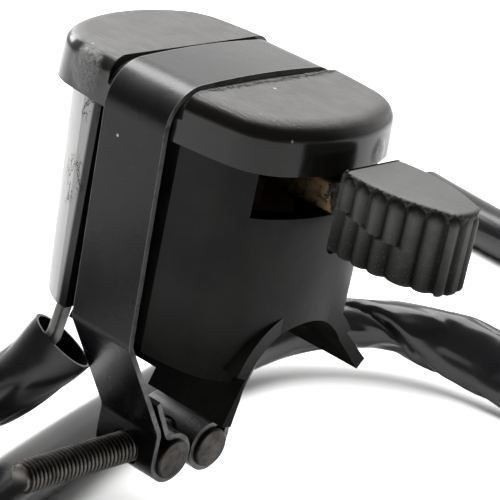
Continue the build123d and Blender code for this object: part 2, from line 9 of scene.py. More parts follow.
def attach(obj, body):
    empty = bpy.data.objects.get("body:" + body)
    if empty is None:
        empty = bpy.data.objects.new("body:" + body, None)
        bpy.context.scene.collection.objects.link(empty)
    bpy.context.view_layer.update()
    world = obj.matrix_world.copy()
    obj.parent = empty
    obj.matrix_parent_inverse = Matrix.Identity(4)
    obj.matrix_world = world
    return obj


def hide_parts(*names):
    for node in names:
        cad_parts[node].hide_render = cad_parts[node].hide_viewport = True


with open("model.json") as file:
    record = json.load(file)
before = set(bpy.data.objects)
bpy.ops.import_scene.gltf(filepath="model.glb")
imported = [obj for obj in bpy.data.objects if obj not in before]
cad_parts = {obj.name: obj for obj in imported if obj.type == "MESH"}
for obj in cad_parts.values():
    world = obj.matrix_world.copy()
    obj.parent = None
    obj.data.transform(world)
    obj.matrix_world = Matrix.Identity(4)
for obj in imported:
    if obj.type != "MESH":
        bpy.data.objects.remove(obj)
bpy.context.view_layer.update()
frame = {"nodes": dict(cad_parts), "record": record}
scene = bpy.context.scene
mm = 0.001


def point(x, y, z):
    return Vector((x, y, z)) * mm


def blendStep(low, high, value):
    share = min(1.0, max(0.0, (value - low) / (high - low)))
    return share * share * (3 - 2 * share)


# Camera, at the photograph's place: 180 mm lens, a little tilted to the left
camera = {
    "place": (218.1, -265.7, 149.8),
    "right": (0.7243, 0.6624, 0.1924),
    "down": (0.3838, -0.1553, -0.9105),
    "lens": 180.0,
    "sensor": 36.0,
    "clip": (0.01, 20.0),
}
right = Vector(camera["right"]).normalized()
up = -Vector(camera["down"])
up = (up - right * up.dot(right)).normalized()
back = right.cross(up)
cameraData = bpy.data.cameras.new("photoCamera")
cameraData.lens = camera["lens"]
cameraData.sensor_width = camera["sensor"]
cameraData.clip_start, cameraData.clip_end = camera["clip"]
cameraObject = bpy.data.objects.new("photoCamera", cameraData)
turn = Matrix((right, up, back)).transposed().to_4x4()
cameraObject.matrix_world = Matrix.Translation(point(*camera["place"])) @ turn
scene.collection.objects.link(cameraObject)
scene.camera = cameraObject
print("camera placed")


# Small helpers for nodes. A noise in a piece's values is its scale, detail, roughness and distortion, a
# bump is its depth in mm and its strength, and a range is where it starts and ends, then its two values.
# An input that is a socket is linked, and any other value is set
def addNode(tree, kind, settings=None, inputs=None):
    node = tree.nodes.new(kind)
    for name, value in (settings or {}).items():
        setattr(node, name, value)
    for name, value in (inputs or {}).items():
        if isinstance(value, bpy.types.NodeSocket):
            tree.links.new(value, node.inputs[name])
        else:
            node.inputs[name].default_value = value
    return node


def objectPlace(tree):
    return addNode(tree, "ShaderNodeTexCoord").outputs["Object"]


def axesOf(tree, vector):
    return addNode(tree, "ShaderNodeSeparateXYZ", inputs={0: vector}).outputs


def facingOf(tree):
    return axesOf(tree, addNode(tree, "ShaderNodeTexCoord").outputs["Normal"])


def stretched(tree, place, scale, turned=(0, 0, 0)):
    node = addNode(tree, "ShaderNodeMapping", inputs={"Vector": place, "Scale": scale, "Rotation": turned})
    return node.outputs[0]


def noiseOf(tree, place, scale, detail=4.0, rough=0.55, distortion=0.0):
    node = addNode(tree, "ShaderNodeTexNoise", inputs={
        "Vector": place, "Scale": scale, "Detail": detail, "Roughness": rough, "Distortion": distortion})
    return node.outputs["Fac"]


def cellsOf(tree, place, scale):
    return addNode(tree, "ShaderNodeTexVoronoi", inputs={"Vector": place, "Scale": scale}).outputs["Distance"]


def ramp(tree, value, low, high):
    node = addNode(tree, "ShaderNodeValToRGB", inputs={"Fac": value})
    for element, place in zip(node.color_ramp.elements, (low, high)):
        element.position = place
    return node.outputs["Color"]


def sums(tree, operation, first, second=0.0, third=0.0):
    node = addNode(tree, "ShaderNodeMath", {"operation": operation}, {0: first, 1: second, 2: third})
    return node.outputs[0]


def times(tree, first, second):
    return sums(tree, "MULTIPLY", first, second)


def vectorSum(tree, operation, first, second=(0, 0, 0)):
    return addNode(tree, "ShaderNodeVectorMath", {"operation": operation}, {0: first, 1: second}).outputs


def fit(tree, value, low, high, newLow=0.0, newHigh=1.0):
    return addNode(tree, "ShaderNodeMapRange", {"interpolation_type": "SMOOTHSTEP"}, {
        "Value": value, "From Min": low, "From Max": high, "To Min": newLow, "To Max": newHigh}).outputs[0]


def mixed(tree, share, first, second):
    node = addNode(tree, "ShaderNodeMix", {"data_type": "RGBA"}, {0: share, 6: first, 7: second})
    return node.outputs[2]


def bumped(tree, height, depth, strength=1.0, normal=None):
    inputs = {"Height": height, "Distance": depth * mm, "Strength": strength}
    if normal is not None:
        inputs["Normal"] = normal
    return addNode(tree, "ShaderNodeBump", inputs=inputs).outputs[0]


def newMaterial(name, **shaderInputs):
    material = bpy.data.materials.new(name)
    material.use_nodes = True
    tree = material.node_tree
    shader = tree.nodes["Principled BSDF"]
    for key, value in shaderInputs.items():
        shader.inputs[key.replace("_", " ")].default_value = value
    return material, tree, shader


def plug(tree, shader, **links):
    for key, socket in links.items():
        tree.links.new(socket, shader.inputs[key.replace("_", " ")])


# One at the middle of each spot in a list, and nothing past its reach
def nearSpots(tree, place, spots):
    near = None
    for x, y, z, reach in spots:
        shift = vectorSum(tree, "DISTANCE", place, point(x, y, z))["Value"]
        spot = fit(tree, shift, 0.0, reach * mm, 1.0, 0.0)
        near = spot if near is None else sums(tree, "MAXIMUM", near, spot)
    return near


# Pale specks, where cells of one noise meet the patches of another
def specksOf(tree, place, values):
    specks = fit(tree, cellsOf(tree, place, values["speckScale"]), *values["speckSize"], 1.0, 0.0)
    patches = fit(tree, noiseOf(tree, place, *values["patchNoise"]), *values["speckPatch"])
    return times(tree, specks, patches)


# Cap: glossy black skirt, sanded grey top with fine streaks and torn paint by the groove, chips
capPaint = {
    "black": (0.006, 0.0055, 0.005, 1), "topGrey": (0.040, 0.039, 0.037, 1),
    "streak": (0.095, 0.093, 0.088, 1), "chip": (0.032, 0.029, 0.027, 1), "speck": (0.55, 0.55, 0.56, 1),
    "shine": 0.36,
    "topFacing": (0.55, 0.97), "streakStretch": (260, 2600, 2600), "streakTurn": (0, 0, 0.42),
    "streakNoise": (1.0, 5.0, 0.65, 0.4), "streakRange": (0.40, 0.72), "streakBump": (0.26, 0.9),
    "blotchNoise": (210.0, 5.0, 0.6), "blotchRange": (0.35, 0.7),
    "speckScale": 420.0, "speckSize": (0.0, 0.16), "patchNoise": (330.0, 2.0), "speckPatch": (0.62, 0.70),
    "chipSpots": ((-12.2, -16.6, 38.6, 4.4), (23.8, 7.1, 36.4, 2.6)), "chipRange": (0.42, 0.62),
    "lumpNoise": (900.0, 6.0, 0.7, 0.8), "chipBump": (0.9, 1.0),
    "tornStretch": (260, 2300, 260), "tornNoise": (1.0, 4.0, 0.6), "tornFrom": (9.3, 7.4),
    "tornGain": 0.42, "tornRange": (0.74, 0.84),
    "grooveSide": (6.9, 7.3), "topRough": (0.22, 0.42), "skirtRough": (0.22, 0.06), "chipRough": 0.16,
    "waveNoise": (120.0, 2.0), "waveBump": (0.22, 0.6), "dimpleNoise": (420.0, 4.0),
    "dimpleBump": (0.12, 0.7), "grainNoise": (2600.0, 3.0), "grainBump": (0.012, 0.7),
}


def makeCapPaint():
    values = capPaint
    material, tree, shader = newMaterial("capPaint", Specular_IOR_Level=values["shine"])
    place = objectPlace(tree)
    top = fit(tree, facingOf(tree)[2], *values["topFacing"])
    streakPlace = stretched(tree, place, values["streakStretch"], values["streakTurn"])
    streaks = noiseOf(tree, streakPlace, *values["streakNoise"])
    streakMask = ramp(tree, streaks, *values["streakRange"])
    blotches = noiseOf(tree, place, *values["blotchNoise"])
    grey = mixed(tree, streakMask, values["topGrey"], values["streak"])
    grey = mixed(tree, fit(tree, blotches, *values["blotchRange"]), grey, values["topGrey"])
    chips = nearSpots(tree, place, values["chipSpots"])
    lumps = noiseOf(tree, place, *values["lumpNoise"])
    chipMask = times(tree, chips, fit(tree, lumps, *values["chipRange"]))
    along = axesOf(tree, place)[0]
    strokes = noiseOf(tree, stretched(tree, place, values["tornStretch"]), *values["tornNoise"])
    tornNear = fit(tree, along, *(edge * mm for edge in values["tornFrom"]), 0.0, values["tornGain"])
    torn = fit(tree, sums(tree, "ADD", tornNear, strokes), *values["tornRange"])
    torn = times(tree, torn, fit(tree, along, *(edge * mm for edge in values["grooveSide"])))
    grey = mixed(tree, torn, grey, values["black"])
    colour = mixed(tree, top, values["black"], grey)
    colour = mixed(tree, chipMask, colour, values["chip"])
    colour = mixed(tree, specksOf(tree, place, values), colour, values["speck"])
    topRough = sums(tree, "MULTIPLY_ADD", streaks, *values["topRough"])
    skirtRough = sums(tree, "MULTIPLY_ADD", blotches, *values["skirtRough"])
    rough = addNode(tree, "ShaderNodeMix", inputs={0: top, 2: skirtRough, 3: topRough}).outputs[0]
    rough = sums(tree, "MULTIPLY_ADD", chipMask, values["chipRough"], rough)
    dimples = times(tree, noiseOf(tree, place, *values["dimpleNoise"]), top)
    wave = bumped(tree, noiseOf(tree, place, *values["waveNoise"]), *values["waveBump"])
    wave = bumped(tree, times(tree, streaks, top), *values["streakBump"], wave)
    wave = bumped(tree, dimples, *values["dimpleBump"], wave)
    wave = bumped(tree, times(tree, lumps, chips), *values["chipBump"], wave)
    wave = bumped(tree, noiseOf(tree, place, *values["grainNoise"]), *values["grainBump"], wave)
    plug(tree, shader, Base_Color=colour, Roughness=rough, Normal=wave)
    return material


# Base: fine matt grain, dull underneath, and scuffed, shiny and cracked on its wire side, whose colour is
# also lightened evenly there as painted light on the side turned to the left
baseMoulding = {
    "dark": (0.0030, 0.0029, 0.0027, 1), "light": (0.0095, 0.0095, 0.0088, 1),
    "scuffAndPaintedLight": (0.042, 0.042, 0.040, 1), "dust": (0.040, 0.040, 0.038, 1),
    "crackSpots": ((-11.6, -16.3, 22.5, 4.6), (-12.6, -15.8, 19.5, 3.0), (-10.2, -16.6, 34.0, 4.0)),
    "crackStretch": (300, 300, 170), "crackNoise": (1.0, 7.0, 0.72, 0.5),
    "crackWidth": (0.006, 0.022), "crackReach": (0.05, 0.45),
    "sideFacing": (-0.24, -0.38), "sideFrom": (-9.2, -9.9), "sideAbove": (0.0, 4.0),
    "endFacing": (-0.90, -0.72),
    "lowHeight": (3.0, 14.0), "lowShine": (0.02, 0.12), "downFacing": (-0.35, -0.08), "sideShine": 1.6,
    "cloudNoise": (85.0, 5.0, 0.6, 0.3), "cloudRange": (0.32, 0.72),
    "dustNoise": (5200.0, 2.0, 0.8), "dustRange": (0.60, 0.78, 0.0, 0.5),
    "waveNoise": (150.0, 2.0), "waveBump": (0.20, 0.35), "grainNoise": (2600.0, 3.0, 0.7),
    "grainBump": (0.03, 0.8), "scuffAndLightShare": 0.85, "rough": (0.20, 0.26),
}


def makeBaseMoulding():
    values = baseMoulding
    material, tree, shader = newMaterial("baseMoulding")
    place = objectPlace(tree)
    along, _, height = axesOf(tree, place)
    facing = facingOf(tree)
    wireSide = sums(tree, "MAXIMUM", fit(tree, facing[0], *values["sideFacing"]),
                    fit(tree, along, *(edge * mm for edge in values["sideFrom"])))
    wireSide = times(tree, wireSide, fit(tree, height, *(edge * mm for edge in values["sideAbove"])))
    wireSide = times(tree, wireSide, fit(tree, facing[0], *values["endFacing"]))
    ragged = noiseOf(tree, stretched(tree, place, values["crackStretch"]), *values["crackNoise"])
    ragged = sums(tree, "ABSOLUTE", sums(tree, "SUBTRACT", ragged, 0.5))
    cracks = fit(tree, ragged, *values["crackWidth"], 1.0, 0.0)
    near = nearSpots(tree, place, values["crackSpots"])
    cracks = times(tree, cracks, fit(tree, near, *values["crackReach"]))
    shine = fit(tree, height, *(edge * mm for edge in values["lowHeight"]), *values["lowShine"])
    shine = times(tree, shine, fit(tree, facing[2], *values["downFacing"]))
    shine = sums(tree, "MULTIPLY_ADD", wireSide, values["sideShine"], shine)
    shine = times(tree, shine, sums(tree, "SUBTRACT", 1.0, cracks))
    grain = noiseOf(tree, place, *values["grainNoise"])
    cloud = noiseOf(tree, place, *values["cloudNoise"])
    dust = noiseOf(tree, place, *values["dustNoise"])
    colour = mixed(tree, fit(tree, cloud, *values["cloudRange"]), values["dark"], values["light"])
    colour = mixed(tree, fit(tree, dust, *values["dustRange"]), colour, values["dust"])
    # Lighter on the wire side: scuffs, plus painted light over the whole face turned towards the left
    colour = mixed(tree, times(tree, wireSide, values["scuffAndLightShare"]), colour, values["scuffAndPaintedLight"])
    colour = mixed(tree, cracks, colour, values["dark"])
    rough = sums(tree, "MULTIPLY_ADD", cloud, *values["rough"])
    normal = bumped(tree, noiseOf(tree, place, *values["waveNoise"]), *values["waveBump"])
    normal = bumped(tree, grain, *values["grainBump"], normal)
    plug(tree, shader, Base_Color=colour, Roughness=rough, Normal=normal, Specular_IOR_Level=shine)
    return material


# Strap: satin black paint, paler along its two cut edges, a few bright specks
strapPaint = {
    "black": (0.0034, 0.0033, 0.0042, 1), "edge": (0.13, 0.13, 0.13, 1), "speck": (0.6, 0.6, 0.62, 1),
    "edgeAt": (5.80, 6.02), "topFacing": (0.1, 0.8), "shine": (0.19, 0.46),
    "cloudNoise": (110.0, 4.0, 0.6), "cloudBump": (0.20, 0.35),
    "edgeBreakNoise": (420.0, 4.0), "edgeBreakRange": (0.30, 0.55, 0.35, 1.0),
    "speckScale": 380.0, "speckSize": (0.0, 0.13), "patchNoise": (300.0, 2.0), "speckPatch": (0.60, 0.68),
    "rough": (0.20, 0.17), "grainNoise": (2200.0, 2.0), "grainBump": (0.015, 0.6),
}


def makeStrapPaint():
    values = strapPaint
    material, tree, shader = newMaterial("strapPaint")
    place = objectPlace(tree)
    shine = fit(tree, facingOf(tree)[2], *values["topFacing"], *values["shine"])
    across = sums(tree, "ABSOLUTE", axesOf(tree, place)[0])
    edge = fit(tree, across, *(reach * mm for reach in values["edgeAt"]))
    cloud = noiseOf(tree, place, *values["cloudNoise"])
    edgeBreaks = fit(tree, noiseOf(tree, place, *values["edgeBreakNoise"]), *values["edgeBreakRange"])
    # Paler along the two cut edges, broken up by noise
    colour = mixed(tree, times(tree, edge, edgeBreaks), values["black"], values["edge"])
    colour = mixed(tree, specksOf(tree, place, values), colour, values["speck"])
    rough = sums(tree, "MULTIPLY_ADD", cloud, *values["rough"])
    normal = bumped(tree, cloud, *values["cloudBump"])
    normal = bumped(tree, noiseOf(tree, place, *values["grainNoise"]), *values["grainBump"], normal)
    plug(tree, shader, Base_Color=colour, Roughness=rough, Normal=normal, Specular_IOR_Level=shine)
    return material


# Metals: worn grey-brown steel, tarnished brass and blackened steel
metal = {
    "dirtNoise": (6.0, 0.65, 0.4), "dirtRange": (0.38, 0.66), "dirtBump": (0.05, 0.6),
    "fineNoise": (3200.0, 3.0, 0.7), "fineBump": (0.012, 0.8),
}


def makeMetal(name, clean, dirt, roughLow, roughSpan, dirtScale=420.0):
    material, tree, shader = newMaterial(name, Metallic=1.0)
    place = objectPlace(tree)
    cloud = noiseOf(tree, place, dirtScale, *metal["dirtNoise"])
    fine = noiseOf(tree, place, *metal["fineNoise"])
    colour = mixed(tree, fit(tree, cloud, *metal["dirtRange"]), clean, dirt)
    rough = sums(tree, "MULTIPLY_ADD", cloud, roughSpan, roughLow)
    normal = bumped(tree, cloud, *metal["dirtBump"])
    normal = bumped(tree, fine, *metal["fineBump"], normal)
    plug(tree, shader, Base_Color=colour, Roughness=rough, Normal=normal)
    return material


# Knob: mid-grey moulding, paler on top as painted light from above, paler along the ridges with dust and
# painted highlights that grow towards the top, duller towards its foot
knobMoulding = {
    "side": (0.0035, 0.0035, 0.0033, 1), "crestDustAndHighlight": (0.062, 0.062, 0.057, 1), "top": (0.036, 0.036, 0.034, 1),
    "dust": (0.20, 0.20, 0.19, 1), "topFacing": (0.45, 0.95), "heights": (24.5, 37.0),
    "crestGain": (0.35, 1.3), "shine": (0.08, 0.42),
    "cloudNoise": (260.0, 5.0, 0.6, 0.3), "cloudRange": (0.25, 0.6, 0.45, 1.0), "cloudBump": (0.10, 0.5),
    "dustNoise": (3300.0, 3.0, 0.8), "dustRange": (0.58, 0.78, 0.0, 0.55), "dustBump": (0.035, 0.9),
    "rough": (0.25, 0.42),
}


def makeKnobMoulding():
    values = knobMoulding
    material, tree, shader = newMaterial("knobMoulding")
    place = objectPlace(tree)
    top = fit(tree, facingOf(tree)[2], *values["topFacing"])
    crest = addNode(tree, "ShaderNodeAttribute", {"attribute_name": "crest"}).outputs["Fac"]
    cloud = noiseOf(tree, place, *values["cloudNoise"])
    dust = noiseOf(tree, place, *values["dustNoise"])
    height = axesOf(tree, place)[2]
    heights = [level * mm for level in values["heights"]]
    # Paler ridge crests, more so higher up: dust and a painted highlight from the light above
    crest = times(tree, crest, fit(tree, height, *heights, *values["crestGain"]))
    crest = times(tree, crest, fit(tree, cloud, *values["cloudRange"]))
    colour = mixed(tree, crest, values["side"], values["crestDustAndHighlight"])
    # Paler top face: painted light from above
    colour = mixed(tree, top, colour, values["top"])
    colour = mixed(tree, fit(tree, dust, *values["dustRange"]), colour, values["dust"])
    rough = sums(tree, "MULTIPLY_ADD", cloud, *values["rough"])
    normal = bumped(tree, cloud, *values["cloudBump"])
    normal = bumped(tree, dust, *values["dustBump"], normal)
    shine = fit(tree, height, *heights, *values["shine"])
    plug(tree, shader, Base_Color=colour, Roughness=rough, Normal=normal, Specular_IOR_Level=shine)
    return material


# Sleeve: glossy black vinyl with soft creases
sleeveCover = {
    "dark": (0.0060, 0.0062, 0.0070, 1), "light": (0.013, 0.013, 0.014, 1), "shine": 0.42,
    "cloudNoise": (55.0, 4.0, 0.55, 0.5), "cloudRange": (0.35, 0.7), "cloudBump": (0.5, 0.25),
    "fineNoise": (700.0, 4.0, 0.6), "fineBump": (0.03, 0.4), "rough": (0.22, 0.12),
}


def makeSleeveCover():
    values = sleeveCover
    material, tree, shader = newMaterial("sleeveCover", Specular_IOR_Level=values["shine"])
    place = objectPlace(tree)
    cloud = noiseOf(tree, place, *values["cloudNoise"])
    fine = noiseOf(tree, place, *values["fineNoise"])
    colour = mixed(tree, fit(tree, cloud, *values["cloudRange"]), values["dark"], values["light"])
    rough = sums(tree, "MULTIPLY_ADD", cloud, *values["rough"])
    normal = bumped(tree, cloud, *values["cloudBump"])
    normal = bumped(tree, fine, *values["fineBump"], normal)
    plug(tree, shader, Base_Color=colour, Roughness=rough, Normal=normal)
    return material


# Steel screw: the thread painted nearly black in its grooves as shade, with paler crests and tip as painted
# highlights
screwSteel = {
    "axis": (0.0, 0.0, -18.8), "root": (0.010, 0.009, 0.008, 1), "crest": (0.17, 0.16, 0.15, 1),
    "crestReach": (2.16, 2.5), "tipAt": (-28.0, -28.45), "tipGain": 0.9,
    "cloudNoise": (700.0, 5.0, 0.65, 0.4), "cloudRange": (0.28, 0.58, 0.35, 1.0), "cloudBump": (0.03, 0.6),
    "rough": (0.22, 0.28),
}


def makeScrewSteel():
    values = screwSteel
    material, tree, shader = newMaterial("screwSteel", Metallic=1.0)
    place = objectPlace(tree)
    shift = vectorSum(tree, "SUBTRACT", place, point(*values["axis"]))[0]
    across = vectorSum(tree, "MULTIPLY", shift, (1, 0, 1))[0]
    reach = vectorSum(tree, "LENGTH", across)["Value"]
    cloud = noiseOf(tree, place, *values["cloudNoise"])
    # Pale crests are painted highlights; lower on the flanks the thread takes the dark root colour as painted
    # shade
    crest = fit(tree, reach, *(radius * mm for radius in values["crestReach"]))
    crest = times(tree, crest, fit(tree, cloud, *values["cloudRange"]))
    # Paler chamfered tip: painted highlight
    tip = fit(tree, axesOf(tree, place)[1], *(end * mm for end in values["tipAt"]), 0.0, values["tipGain"])
    colour = mixed(tree, sums(tree, "MAXIMUM", crest, tip), values["root"], values["crest"])
    rough = sums(tree, "MULTIPLY_ADD", cloud, *values["rough"])
    plug(tree, shader, Base_Color=colour, Roughness=rough, Normal=bumped(tree, cloud, *values["cloudBump"]))
    return material


# Arm's end: dark lumps of brown dirt with a few white specks, which are painted highlights
crustDirt = {
    "dark": (0.006, 0.0045, 0.0035, 1), "brown": (0.060, 0.042, 0.026, 1), "speck": (0.55, 0.52, 0.46, 1),
    "lumpNoise": (900.0, 6.0, 0.7, 0.6), "lumpRange": (0.35, 0.68), "lumpBump": (0.5, 0.9),
    "speckScale": 1300.0, "speckSize": (0.10, 0.24), "patchNoise": (600.0, 2.0), "speckPatch": (0.58, 0.66),
    "rough": (0.4, 0.18), "shine": 0.5,
}


def makeCrustDirt():
    values = crustDirt
    material, tree, shader = newMaterial("crustDirt", Specular_IOR_Level=values["shine"])
    place = objectPlace(tree)
    lumps = noiseOf(tree, place, *values["lumpNoise"])
    colour = mixed(tree, fit(tree, lumps, *values["lumpRange"]), values["dark"], values["brown"])
    # White specks: painted glints on the arm
    colour = mixed(tree, specksOf(tree, place, values), colour, values["speck"])
    rough = sums(tree, "MULTIPLY_ADD", lumps, *values["rough"])
    plug(tree, shader, Base_Color=colour, Roughness=rough, Normal=bumped(tree, lumps, *values["lumpBump"]))
    return material


# Plain finishes: two colours in clouds under a fine grain
plain = {
    "cloudNoise": (400.0, 5.0, 0.6, 0.2), "cloudRange": (0.3, 0.7), "roughSpan": 0.25,
    "fineNoise": (4200.0, 2.0, 0.7), "fineBump": (0.03, 0.7),
}


def makePlain(name, first, second, roughLow):
    material, tree, shader = newMaterial(name)
    place = objectPlace(tree)
    cloud = noiseOf(tree, place, *plain["cloudNoise"])
    fine = noiseOf(tree, place, *plain["fineNoise"])
    colour = mixed(tree, fit(tree, cloud, *plain["cloudRange"]), first, second)
    rough = sums(tree, "MULTIPLY_ADD", cloud, plain["roughSpan"], roughLow)
    plug(tree, shader, Base_Color=colour, Roughness=rough, Normal=bumped(tree, fine, *plain["fineBump"]))
    return material


# Two colours and the lowest roughness; the metals add how much rougher dirt is, and the dirt's scale
plainColours = {
    "steel": ((0.16, 0.145, 0.13, 1), (0.045, 0.038, 0.033, 1), 0.34, 0.28),
    "brass": ((0.50, 0.36, 0.20, 1), (0.15, 0.09, 0.055, 1), 0.25, 0.35, 700.0),
    "blackened": ((0.050, 0.046, 0.042, 1), (0.018, 0.015, 0.014, 1), 0.36, 0.25),
    "board": ((0.16, 0.085, 0.040, 1), (0.22, 0.13, 0.07, 1), 0.40),
    "wire": ((0.20, 0.20, 0.19, 1), (0.32, 0.32, 0.30, 1), 0.35),
    "connector": ((0.02, 0.02, 0.02, 1), (0.04, 0.04, 0.04, 1), 0.35),
    "tornPaint": ((0.004, 0.004, 0.005, 1), (0.010, 0.010, 0.011, 1), 0.30),
}
finishes = {
    "cap_paint": makeCapPaint(),
    "base_moulding": makeBaseMoulding(),
    "strap_paint": makeStrapPaint(),
    "steel": makeMetal("wornSteel", *plainColours["steel"]),
    "brass": makeMetal("tarnishedBrass", *plainColours["brass"]),
    "knob_moulding": makeKnobMoulding(),
    "insulator": makePlain("brownBoard", *plainColours["board"]),
    "wire_cover": makePlain("greyWire", *plainColours["wire"]),
    "sleeve_cover": makeSleeveCover(),
    "connector_cover": makePlain("connectorCover", *plainColours["connector"]),
}
record = frame["record"]
nodeSlots = {part["node"]: part["material_slot"] for part in record["subparts"]}
for name, cadNode in frame["nodes"].items():
    cadNode.data.materials.clear()
    cadNode.data.materials.append(finishes[nodeSlots[name]])
blackened = makeMetal("blackenedSteel", *plainColours["blackened"])
for name in ("threaded_barrel", "plain_barrel"):
    frame["nodes"][name].data.materials[0] = blackened
print("finishes made for", len(frame["nodes"]), "nodes")


weldReach = 0.002      # how close, in mm, two vertices become one


# Turns a bmesh into a finished piece that rides on a body
def finishPiece(name, mesh, body, slotName, replaced=(), sharpOver=40.0, material=None):
    bmesh.ops.remove_doubles(mesh, verts=mesh.verts, dist=weldReach * mm)
    bmesh.ops.recalc_face_normals(mesh, faces=mesh.faces)
    for face in mesh.faces:
        face.smooth = True
    for edge in mesh.edges:
        if edge.is_manifold and edge.calc_face_angle(0.0) > math.radians(sharpOver):
            edge.smooth = False
    data = bpy.data.meshes.new(name)
    mesh.to_mesh(data)
    mesh.free()
    data.materials.append(material or finishes[slotName])
    piece = bpy.data.objects.new(name, data)
    scene.collection.objects.link(piece)
    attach(piece, body)
    if replaced:
        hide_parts(*replaced)
    print("made", name, len(data.polygons), "faces")
    return piece


# Closes the open loop of edges along a ring of vertices
def closeRing(mesh, ring):
    loop = [edge for edge in {e for vertex in ring for e in vertex.link_edges} if edge.is_boundary]
    bmesh.ops.contextual_create(mesh, geom=loop)


# Spins a profile once about an axis through the centre
def spinProfile(mesh, profile, steps, axis, centre=(0, 0, 0), place=Matrix()):
    verts = [mesh.verts.new(place @ profilePoint) for profilePoint in profile]
    edges = [mesh.edges.new(pair) for pair in zip(verts, verts[1:])]
    bmesh.ops.spin(mesh, geom=verts + edges, cent=centre, axis=axis, angle=math.tau, steps=steps,
                   use_merge=True)


# Sleeve: the cord that leaves the base's wire hole
sleeve = {
    "radius": 4.75,
    "wall": 0.45,
    "sides": 56,
    "fineness": 24,
    "mouthDepth": 22.0,
    "lowest": -32.44,
    "flatten": 0.42, "flatFace": (0.57, -0.73, 0.37), "mouthFlat": 0.17,
    "foldDepth": 0.30, "foldWide": 0.30, "foldSharp": 2.6, "foldStart": 88.0, "foldTurn": 186.0,
    "foldAlong": (-29.0, -6.0), "foldEnds": (2.0, 10.0),
    "creasedPast": (50.0, 70.0), "creasedUntil": (112.0, 136.0), "creasedFrom": (-30.0, -24.0),
    "flatFrom": (-17.0, -1.0), "mouthReach": 9.0,
    "softSpread": 0.8, "softPace": 0.040, "softShift": (0.0, 0.0), "softSmall": 0.03, "softLarge": 0.10,
    "wrinkleSpread": 1.4, "wrinklePace": 0.050, "wrinkleShift": (7.0, 3.0), "wrinkleDepth": 0.05,
    "wrinkleSharp": 6.0,
    "dentSpread": 0.8, "dentPace": 0.085, "dentShift": (1.0, 5.0), "dentOver": 0.15, "dentDepth": 0.30,
    "route": [
        (-10.2, -13.3, -4.3), (-15.3, -17.9, -15.3), (-28.9, -21.9, -22.6), (-45.0, -33.5, -27.7),
        (-57.5, -56.5, -27.7), (-57.0, -84.0, -27.7), (-40.0, -104.5, -27.7), (-13.0, -106.0, -27.7),
        (5.5, -86.0, -27.7), (7.0, -58.0, -27.7), (-7.0, -30.0, -27.7), (-17.5, 5.2, -27.7),
        (-23.4, 29.0, -27.7), (-27.6, 47.5, -26.8), (-26.9, 64.5, -24.6), (-18.8, 79.2, -22.8),
        (-5.0, 87.9, -24.4), (12.0, 90.6, -26.6), (30.0, 94.0, -27.7), (45.0, 104.5, -27.7),
        (52.0, 121.5, -27.7), (48.5, 139.5, -27.7), (35.5, 152.5, -27.7), (16.5, 158.0, -27.7),
        (-7.0, 154.8, -27.7), (-34.0, 147.2, -27.7), (-66.0, 153.0, -27.7),
    ],
}


def routeLine(name, route, fineness):
    curve = bpy.data.curves.new(name, "CURVE")
    curve.dimensions = "3D"
    curve.resolution_u = fineness
    spline = curve.splines.new("NURBS")
    spline.points.add(len(route) - 1)
    for target, place in zip(spline.points, route):
        target.co = (*point(*place), 1.0)
    spline.order_u = 3
    spline.use_endpoint_u = True
    holder = bpy.data.objects.new(name, curve)
    scene.collection.objects.link(holder)
    bpy.context.view_layer.update()
    line = bpy.data.meshes.new_from_object(holder)
    points = [vertex.co.copy() for vertex in line.vertices]
    bpy.data.objects.remove(holder)
    return points


# Frames carried along a line without twist, each one a matrix with Z along the line
def carriedFrames(points):
    frames = []
    side = None
    for index, place in enumerate(points):
        before = points[max(index - 1, 0)]
        after = points[min(index + 1, len(points) - 1)]
        heading = (after - before).normalized()
        if side is None:
            side = heading.cross(Vector((0, 0, 1))).normalized()
        side = (side - heading * side.dot(heading)).normalized()
        over = heading.cross(side)
        frames.append(Matrix.Translation(place) @ Matrix((side, over, heading)).transposed().to_4x4())
    return frames


# Sweeps a ring along frames; shape(index, angle) gives each point's two offsets from the line
def sweepRing(mesh, frames, shape, sides):
    ring = bmesh.ops.create_circle(mesh, segments=sides, radius=mm, matrix=frames[0])["verts"]
    edges = list({edge for vertex in ring for edge in vertex.link_edges})
    rings = [ring]
    for before, after in zip(frames, frames[1:]):
        made = bmesh.ops.extrude_edge_only(mesh, edges=edges)["geom"]
        ring = [item for item in made if isinstance(item, bmesh.types.BMVert)]
        edges = [item for item in made if isinstance(item, bmesh.types.BMEdge)]
        bmesh.ops.transform(mesh, matrix=after @ before.inverted(), verts=ring)
        rings.append(ring)
    for index, (ring, place) in enumerate(zip(rings, frames)):
        inverse = place.inverted()
        for vertex in ring:
            local = inverse @ vertex.co
            across, over = shape(index, math.atan2(local.y, local.x))
            vertex.co = place @ Vector((across, over, 0.0))
    return rings


sleeveLine = routeLine("sleeveLine", sleeve["route"], sleeve["fineness"])
sleeveFrames = carriedFrames(sleeveLine)
travelled = [0.0]
for a, b in zip(sleeveLine, sleeveLine[1:]):
    travelled.append(travelled[-1] + (b - a).length)


# Where the sleeve is creased, and where it is flattened: behind the body, and to its right
def crumpleAt(place):
    x, y = place.x / mm, place.y / mm
    behind = blendStep(*sleeve["creasedPast"], y) * (1 - blendStep(*sleeve["creasedUntil"], y))
    return behind * blendStep(*sleeve["creasedFrom"], x), behind * blendStep(*sleeve["flatFrom"], x)


# Noise of one kind (soft, wrinkle or dent) around the sleeve and along its way
def sleeveNoise(kind, around, way):
    shift = Vector((*sleeve[kind + "Shift"], way * sleeve[kind + "Pace"]))
    return noise.noise(around * sleeve[kind + "Spread"] + shift)


